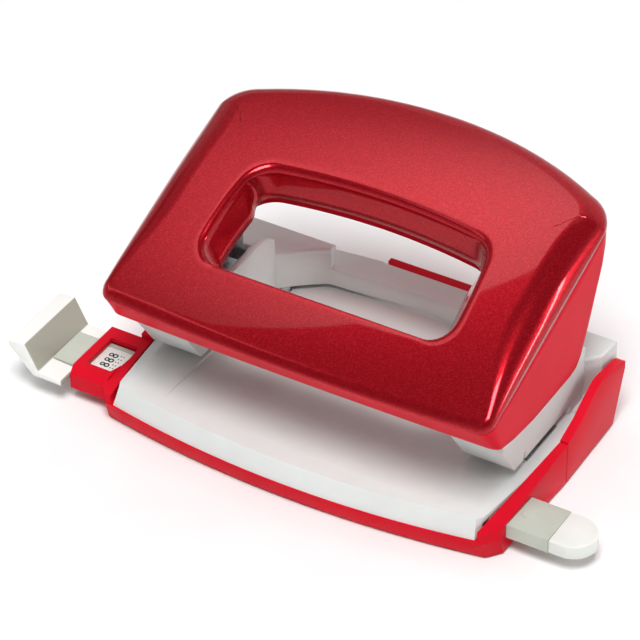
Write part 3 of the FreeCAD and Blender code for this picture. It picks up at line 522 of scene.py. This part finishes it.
def grip_liner():
    """Satin lower shell of the handle: side cheeks, leaning front lip, roof under the top."""
    outer = inset(handle_outline(), 0.12)
    window = window_outline()
    lip_low = LOWER[0][0]
    lean = (LIP_BACK - lip_low) / (LIP_BACK - FRONT)
    low_plan = [(x, lip_low + (y - FRONT) * lean if y < LIP_BACK else y) for x, y in outer]
    low = [along(LOWER, y) for _, y in low_plan]
    rings = []
    for into, lift in ((1.4, 0.6), (0.9, -0.02)):
        rings.append([(x, y, crease(y0) + lift)
                      for (x, y), (_, y0) in zip(inset(outer, into), outer)])
    rings.append([(x, y, crease(y) - 0.05) for x, y in inset(outer, 0.35)])
    for share in (0.03, 0.12, 0.3, 0.5, 0.7, 0.88, 0.97):
        ring = mix(outer, low_plan, share)
        rings.append([(x, y, (crease(y0) - 0.1) * (1 - share) + z * share)
                      for (x, y), (_, y0), z in zip(ring, outer, low)])
    # the wall's lower edge, its inside, and the roof
    for into in (0.5, 1.5):
        rings.append([(x, y, z) for (x, y), z in zip(inset(low_plan, into), low)])
    wall = inset(low_plan, 2.0)
    rings.append([(x, y, min(z + 0.4, crease(y0) - ROOF_DROP))
                  for (x, y), z, (_, y0) in zip(wall, low, outer)])
    roof = inset(outer, 2.0)
    rings.append([(x, y, max(crease(y0) - ROOF_DROP, z + 0.05 if y0 > 0 else 0.0))
                  for (x, y), (_, y0), z in zip(roof, outer, low)])
    collar = inset(window, -2.2)
    for step in range(1, 8):
        ring = mix(roof, collar, step / 8)
        rings.append([(x, y, min(crease(y), arch(y)) - ROOF_DROP) for x, y in ring])
    # the collar round the window, down, round its foot and up again
    rings.append([(x, y, arch(y) - 8.0) for x, y in collar])
    for out, depth in ((1.9, 10.4), (1.4, 10.6), (0.9, 10.4), (1.6, 9.0)):
        rings.append([(x, y, arch(y) - depth) for x, y in inset(window, -out)])
    for step in range(8):
        ring = mix(inset(window, -1.9), inset(outer, 2.2), step / 8)
        rings.append([(x, y, min(crease(y) + 0.4, arch(y) - 1.8)) for x, y in ring])
    points, faces = tube_of_rings(rings)
    return new_piece("grip_liner", points, faces, "handle", "red_satin", ["handle_liner"])


# ---------------------------------------------------------------- pieces

grip_shell()
grip_liner()

EDGE_RADII = {
    "base_frame": 0.7, "chip_tray": 0.5, "deck_plate": 0.4, "punch_housing": 0.5,
    "paper_stop": 0.4, "guide_rail": 0.25, "rail_end_cap": 0.4, "lever_arm_left": 0.15,
    "lever_arm_right": 0.15, "pin_bracket_left": 0.15, "pin_bracket_right": 0.15,
    "die_plate_left": 0.1, "die_plate_right": 0.1, "hinge_cap_left": 0.2, "hinge_cap_right": 0.2,
    "front_feet": 0.15, "tray_feet": 0.15,
}


def ring_of(centre, radii, count=28):
    """Points of an ellipse in plan."""
    return [(centre[0] + radii[0] * math.cos(2 * math.pi * i / count),
             centre[1] + radii[1] * math.sin(2 * math.pi * i / count)) for i in range(count)]


def format_print():
    """Printed window figures that stand for a paper format, and two rows of dots."""
    low, high = box_mm("format_strip")
    middle_x, middle_y, top = (low[0] + high[0]) / 2, (low[1] + high[1]) / 2, high[2]
    foot, face_height = top - 0.01, top + 0.03
    points, faces = [], []

    def raised(outer, inner=None):
        """A disc of ink, or a ring when it has an inner edge."""
        rings = [[(x, y, foot) for x, y in outer], [(x, y, face_height) for x, y in outer]]
        if inner:
            rings += [[(x, y, face_height) for x, y in inner], [(x, y, foot) for x, y in inner]]
        more, sides = tube_of_rings(rings, closed=bool(inner))
        base = len(points)
        points.extend(more)
        faces.extend(tuple(base + i for i in face) for face in sides)
        if not inner:
            count = len(outer)
            faces.append(tuple(base + count + i for i in range(count)))
            faces.append(tuple(base + count - 1 - i for i in range(count)))

    # three figure eights, each a small ring against a larger one
    for along_y in (-1.9, 0.0, 1.9):
        for along_x, size in ((-1.35, 0.62), (-0.25, 0.7)):
            centre = (middle_x + along_x, middle_y + along_y)
            raised(ring_of(centre, (size, size * 1.05)), ring_of(centre, (size * 0.48, size * 0.5)))
    for i in range(5):
        for row in (1.0, 1.7):
            raised(ring_of((middle_x + row, middle_y - 2.4 + 1.2 * i), (0.16, 0.16), 12))
    piece = new_piece("format_figures", points, faces, "guide", "label", smooth=False)
    piece.data.materials.clear()
    piece.data.materials.append(ink)


SPRING_SEAT = 15.4       # top of the bracket's lower flange
SPRING_PLAY = 0.05       # gap to the seat and to the clip
SPRING_TURNS = 7.0
END_TURN = 0.75          # share of a turn that lies flat at each end
COIL_RADIUS = 3.45
WIRE_RADIUS = 0.35
TURN_STEPS = 40
WIRE_SIDES = 10


def return_spring(side):
    """Wound wire between a bracket's lower flange and the pin's clip, with flattened end turns."""
    pin_low, pin_high = box_mm("punch_pin_" + side)
    axis_x, axis_y = (pin_low[0] + pin_high[0]) / 2, 0.0
    clip_low = box_mm("pin_clip_" + side)[0][2]
    foot = SPRING_SEAT + WIRE_RADIUS + SPRING_PLAY
    head = clip_low - WIRE_RADIUS - SPRING_PLAY
    total = int(SPRING_TURNS * TURN_STEPS)
    rings = []
    for i in range(total + 1):
        turns = SPRING_TURNS * i / total
        climb = min(1.0, max(0.0, (turns - END_TURN) / (SPRING_TURNS - 2 * END_TURN)))
        height = foot + (head - foot) * climb
        angle = 2 * math.pi * turns
        ring = []
        for k in range(WIRE_SIDES):
            turn = 2 * math.pi * k / WIRE_SIDES
            reach = COIL_RADIUS + WIRE_RADIUS * math.cos(turn)
            ring.append((axis_x + reach * math.cos(angle), axis_y + reach * math.sin(angle),
                         height + WIRE_RADIUS * math.sin(turn)))
        rings.append(ring)
    points, faces = tube_of_rings(rings, closed=False)
    last = len(points) - WIRE_SIDES
    faces.append(tuple(reversed(range(WIRE_SIDES))))
    faces.append(tuple(range(last, last + WIRE_SIDES)))
    piece = new_piece("wound_spring_" + side, points, faces, "base", "spring_steel",
                      ["return_spring_" + side])
    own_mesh(piece)


format_print()
return_spring("left")
return_spring("right")

# the carried-over CAD nodes: their own material, and a radius on the edges of those listed in
# EDGE_RADII
slot_of = {p["node"]: p["material_slot"] for p in frame["record"]["subparts"]}
for node_name, node in frame["nodes"].items():
    node.data.materials.clear()
    # the paper stop gets the pale ABS with painted shade on its inner faces
    finish = stop_painted_shade if node_name == "paper_stop" else SLOT_MATERIALS[slot_of[node_name]]
    node.data.materials.append(finish)
    if node_name in EDGE_RADII:
        soften(node, EDGE_RADII[node_name])


# ---------------------------------------------------------------- studio

FLOOR_FRONT = -3.0       # the studio's sizes are in metres
FLOOR_BACK = 0.9
FLOOR_HALF = 4.0
SWEEP_RADIUS = 0.6
SWEEP_STEPS = 12
WALL_TOP = 3.0


def studio_floor():
    """Large pale sweep that turns up behind the object."""
    points, faces = [], []
    profile = [(FLOOR_FRONT, 0.0), (FLOOR_BACK, 0.0)]
    for step in range(1, SWEEP_STEPS + 1):
        turn = math.radians(90 * step / SWEEP_STEPS)
        profile.append((FLOOR_BACK + SWEEP_RADIUS * math.sin(turn),
                        SWEEP_RADIUS * (1 - math.cos(turn))))
    profile.append((FLOOR_BACK + SWEEP_RADIUS, WALL_TOP))
    for y, z in profile:
        points += [(-FLOOR_HALF, y, z), (FLOOR_HALF, y, z)]
    for i in range(len(profile) - 1):
        faces.append((2 * i, 2 * i + 1, 2 * i + 3, 2 * i + 2))
    mesh = bpy.data.meshes.new("studio_floor")
    mesh.from_pydata(points, [], faces)
    mesh.shade_smooth()
    floor = bpy.data.objects.new("studio_floor", mesh)
    bpy.context.scene.collection.objects.link(floor)
    paper, shader = new_material("studio_paper", Roughness=0.9, IOR=1.3)
    tooth = add_node(paper, "ShaderNodeTexNoise", {"Scale": per_metre(30), "Detail": 2.0},
                     {"Vector": place(paper)})
    tinted_by(paper, shader, tooth.outputs["Fac"], [(0.3, "#F2F2F2"), (0.7, "#F6F6F6")])
    mesh.materials.append(paper)


def softbox(name, place_m, aim, size, radiance):
    """White rectangular light of a given brightness, whatever its size."""
    light = bpy.data.lights.new(name, "AREA")
    light.shape = "RECTANGLE"
    light.size, light.size_y = size
    light.energy = radiance * math.pi * size[0] * size[1]
    lamp = bpy.data.objects.new(name, light)
    lamp.location = place_m
    lamp.rotation_euler = Vector(aim).to_track_quat("-Z", "Y").to_euler()
    bpy.context.scene.collection.objects.link(lamp)


SHEET_MIDDLE = (-0.83, 0.28, 1.0)
SHEET_HALF = (0.5, 0.95)
SHEET_POINTS = 96
SHEET_FADE = 0.2         # from this far right of its middle the sheet brightens to its edge
SHEET_GLOW = (0.3, 2.8)  # emission on the left, and at the right-hand edge


def light_sheet():
    """Glowing oval overhead, brightest along its right-hand edge and fading to the left."""
    points = [(x, y, SHEET_MIDDLE[2]) for x, y in ring_of(SHEET_MIDDLE, SHEET_HALF, SHEET_POINTS)]
    mesh = bpy.data.meshes.new("light_sheet")
    mesh.from_pydata(points, [], [tuple(reversed(range(SHEET_POINTS)))])
    sheet = bpy.data.objects.new("light_sheet", mesh)
    bpy.context.scene.collection.objects.link(sheet)
    glow, shader = new_material("light_sheet_glow", Roughness=1.0, Specular_IOR_Level=0.0)
    shader.inputs["Base Color"].default_value = (0, 0, 0, 1)
    shader.inputs["Emission Color"].default_value = (1, 1, 1, 1)
    split = add_node(glow, "ShaderNodeSeparateXYZ", links={"Vector": place(glow)})
    level = add_node(glow, "ShaderNodeMapRange",
                     {"interpolation_type": "SMOOTHSTEP",
                      "From Min": SHEET_MIDDLE[0] + SHEET_FADE,
                      "From Max": SHEET_MIDDLE[0] + SHEET_HALF[0],
                      "To Min": SHEET_GLOW[0], "To Max": SHEET_GLOW[1]},
                     {"Value": split.outputs["X"]})
    glow.node_tree.links.new(level.outputs["Result"], shader.inputs["Emission Strength"])
    mesh.materials.append(glow)


ROOM_HORIZON, ROOM_OVERHEAD = 0.68, 0.1      # brightness of the room


def studio_light():
    """A room that is dark overhead and pale near the horizon, a curved-edged sheet of light
    above on the left, a key light above in front, a weak fill from the left, and a narrow
    strip that draws the streak on the handle's right-hand edge."""
    world = bpy.data.worlds.new("studio")
    world.use_nodes = True
    nodes, links = world.node_tree.nodes, world.node_tree.links
    direction = nodes.new("ShaderNodeTexCoord")
    split = nodes.new("ShaderNodeSeparateXYZ")
    level = nodes.new("ShaderNodeMapRange")
    level.interpolation_type = "SMOOTHSTEP"
    links.new(direction.outputs["Generated"], split.inputs["Vector"])
    links.new(split.outputs["Z"], level.inputs["Value"])
    level.inputs["From Min"].default_value = 0.1
    level.inputs["From Max"].default_value = 0.5
    level.inputs["To Min"].default_value = ROOM_HORIZON
    level.inputs["To Max"].default_value = ROOM_OVERHEAD
    links.new(level.outputs["Result"], nodes["Background"].inputs["Strength"])
    nodes["Background"].inputs["Color"].default_value = linear("#F8F9FA")
    bpy.context.scene.world = world
    light_sheet()
    softbox("key_top", (0.35, -0.7, 1.8), (-0.35, 0.7, -1.8), (0.8, 0.8), 17.0)
    softbox("fill_left", (-1.3, -0.9, 1.3), (1.3, 0.9, -1.3), (0.9, 0.9), 1.3)
    softbox("side_strip", (1.0, 0.42, 0.33), (-1, -0.42, -0.3), (0.035, 0.6), 26.0)


CAMERA_PLACE = (0.3079, -0.5391, 0.4983)
CAMERA_AZIMUTH, CAMERA_ELEVATION, CAMERA_ROLL = 30.585, 37.241, -0.241     # degrees
FOCAL_LENGTH, SENSOR_WIDTH = 196.9, 36                                     # millimetres


def camera():
    """Long lens, seen from the front right and above."""
    azimuth, elevation = math.radians(CAMERA_AZIMUTH), math.radians(CAMERA_ELEVATION)
    lens = bpy.data.cameras.new("camera")
    lens.sensor_width = SENSOR_WIDTH
    lens.lens = FOCAL_LENGTH
    lens.clip_start, lens.clip_end = 0.05, 20
    shot = bpy.data.objects.new("camera", lens)
    back = Vector((math.sin(azimuth) * math.cos(elevation),
                   -math.cos(azimuth) * math.cos(elevation), math.sin(elevation)))
    shot.location = CAMERA_PLACE
    turn = (-back).to_track_quat("-Z", "Y").to_matrix().to_4x4()
    roll = Matrix.Rotation(math.radians(CAMERA_ROLL), 4, "Z")
    shot.rotation_euler = (turn @ roll).to_euler()
    bpy.context.scene.collection.objects.link(shot)
    bpy.context.scene.camera = shot


studio_floor()
studio_light()
camera()
bpy.context.scene.view_settings.view_transform = "Standard"
